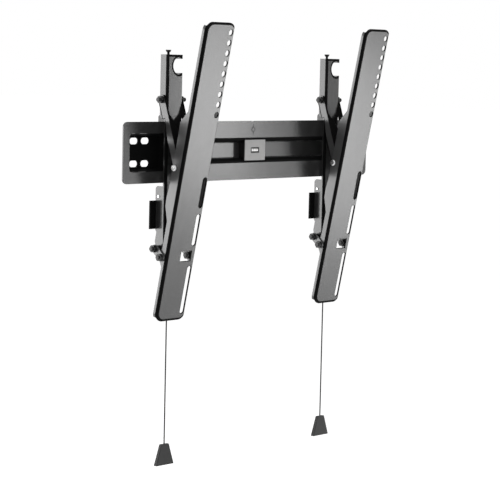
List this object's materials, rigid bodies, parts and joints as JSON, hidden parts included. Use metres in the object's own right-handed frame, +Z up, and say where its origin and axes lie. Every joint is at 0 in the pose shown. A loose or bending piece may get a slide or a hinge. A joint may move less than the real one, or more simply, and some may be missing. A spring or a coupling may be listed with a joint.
{
  "type": "tilting tv wall bracket",
  "caption": "Tilting television wall bracket: a pressed wall plate, hang posts with tilt yokes, long display brackets and cord-released latches.",
  "frame": {"origin": "centre of the wall plate's fixing pattern, on the wall face", "axes": "+X along the wall to the right, +Y into the wall, +Z up; the screen side faces -Y"},
  "size_m": [0.558, 0.1015, 0.6457],
  "materials": {
    "plate_metal": "satin black powder coat",
    "post_metal": "satin black powder coat",
    "bracket_metal": "satin charcoal powder coat",
    "yoke_metal": "satin black powder coat",
    "link_metal": "satin charcoal powder coat",
    "black_hardware": "blacked steel",
    "bright_steel": "bright plated steel",
    "spring_steel": "drawn spring wire",
    "level_plastic": "moulded dark grey plastic",
    "vial": "vial with pale fluid",
    "cord": "thin black braided cord",
    "pull_plastic": "moulded near-black plastic"
  },
  "bodies": {
    "wall": {"wall_plate": "plate_metal", "level_block": "level_plastic", "level_vial": "vial"},
    "left_carriage": {"left_hook_carriage": "post_metal"},
    "left_screw": {"left_level_screw": "black_hardware", "left_screw_clip": "bright_steel"},
    "left_post": {"left_hang_post": "post_metal", "left_upper_pivot_bolts": "black_hardware", "left_upper_pivot_nuts": "black_hardware", "left_lower_post_bolts": "black_hardware", "left_lower_post_spacers": "black_hardware", "left_lower_post_nuts": "black_hardware", "left_latch_pin": "bright_steel", "left_latch_spring": "spring_steel"},
    "left_yoke": {"left_tilt_yoke": "yoke_metal"},
    "left_bracket": {"left_display_bracket": "bracket_metal", "left_middle_axle": "bright_steel", "left_middle_spacers": "black_hardware", "left_lower_bracket_bolts": "black_hardware", "left_lower_bracket_nuts": "black_hardware"},
    "left_links": {"left_outer_link": "link_metal", "left_inner_link": "link_metal"},
    "left_release": {"left_latch": "post_metal", "left_pull_cord": "cord", "left_cord_pull": "pull_plastic"},
    "right_carriage": {"right_hook_carriage": "post_metal"},
    "right_screw": {"right_level_screw": "black_hardware", "right_screw_clip": "bright_steel"},
    "right_post": {"right_hang_post": "post_metal", "right_upper_pivot_bolts": "black_hardware", "right_upper_pivot_nuts": "black_hardware", "right_lower_post_bolts": "black_hardware", "right_lower_post_spacers": "black_hardware", "right_lower_post_nuts": "black_hardware", "right_latch_pin": "bright_steel", "right_latch_spring": "spring_steel"},
    "right_yoke": {"right_tilt_yoke": "yoke_metal"},
    "right_bracket": {"right_display_bracket": "bracket_metal", "right_middle_axle": "bright_steel", "right_middle_spacers": "black_hardware", "right_lower_bracket_bolts": "black_hardware", "right_lower_bracket_nuts": "black_hardware"},
    "right_links": {"right_outer_link": "link_metal", "right_inner_link": "link_metal"},
    "right_release": {"right_latch": "post_metal", "right_pull_cord": "cord", "right_cord_pull": "pull_plastic"}
  },
  "joints": [
    {"name": "left_shift", "type": "slide", "parent": "wall", "child": "left_carriage", "axis": [1, 0, 0], "range_m": [-0.06, 0.12]},
    {"name": "left_height", "type": "slide", "parent": "left_carriage", "child": "left_post", "axis": [0, 0, 1], "range_m": [-0.0028, 0.0028]},
    {"name": "left_screw_turn", "type": "hinge", "parent": "left_carriage", "child": "left_screw", "pos_m": [-0.186, -0.0102, 0.106], "axis": [0, 0, 1], "range_deg": [-1445, 1445]},
    {"name": "left_tilt", "type": "hinge", "parent": "left_post", "child": "left_yoke", "pos_m": [-0.181, -0.0116, 0.0754], "axis": [1, 0, 0], "range_deg": [-7, 9]},
    {"name": "left_bracket_pivot", "type": "hinge", "parent": "left_yoke", "child": "left_bracket", "pos_m": [-0.181, -0.0429, -0.021], "axis": [1, 0, 0], "range_deg": [-13.3, 10.4]},
    {"name": "left_link_pivot", "type": "hinge", "parent": "left_post", "child": "left_links", "pos_m": [-0.181, -0.0096, -0.1388], "axis": [1, 0, 0], "range_deg": [-22.6, 29]},
    {"name": "left_release_slide", "type": "slide", "parent": "left_post", "child": "left_release", "axis": [0, 0, 1], "range_m": [-0.0115, 0], "stiffness_N_per_m": 300, "springref_m": 0.005, "deforming": ["left_latch_spring"]},
    {"name": "right_shift", "type": "slide", "parent": "wall", "child": "right_carriage", "axis": [1, 0, 0], "range_m": [-0.12, 0.06]},
    {"name": "right_height", "type": "slide", "parent": "right_carriage", "child": "right_post", "axis": [0, 0, 1], "range_m": [-0.0028, 0.0028]},
    {"name": "right_screw_turn", "type": "hinge", "parent": "right_carriage", "child": "right_screw", "pos_m": [0.177, -0.0102, 0.106], "axis": [0, 0, 1], "range_deg": [-1445, 1445]},
    {"name": "right_tilt", "type": "hinge", "parent": "right_post", "child": "right_yoke", "pos_m": [0.182, -0.0116, 0.0754], "axis": [1, 0, 0], "range_deg": [-7, 9]},
    {"name": "right_bracket_pivot", "type": "hinge", "parent": "right_yoke", "child": "right_bracket", "pos_m": [0.182, -0.0429, -0.021], "axis": [1, 0, 0], "range_deg": [-13.3, 10.4]},
    {"name": "right_link_pivot", "type": "hinge", "parent": "right_post", "child": "right_links", "pos_m": [0.182, -0.0096, -0.1388], "axis": [1, 0, 0], "range_deg": [-22.6, 29]},
    {"name": "right_release_slide", "type": "slide", "parent": "right_post", "child": "right_release", "axis": [0, 0, 1], "range_m": [-0.0115, 0], "stiffness_N_per_m": 300, "springref_m": 0.005, "deforming": ["right_latch_spring"]}
  ],
  "couplings": [
    {"joint": "left_screw_turn", "follows": "left_height", "rad_per_m": -8976},
    {"joint": "left_bracket_pivot", "follows": "left_tilt", "ratio": -1.452},
    {"joint": "left_link_pivot", "follows": "left_tilt", "ratio": 3.2},
    {"joint": "right_screw_turn", "follows": "right_height", "rad_per_m": -8976},
    {"joint": "right_bracket_pivot", "follows": "right_tilt", "ratio": -1.452},
    {"joint": "right_link_pivot", "follows": "right_tilt", "ratio": 3.2}
  ]
}
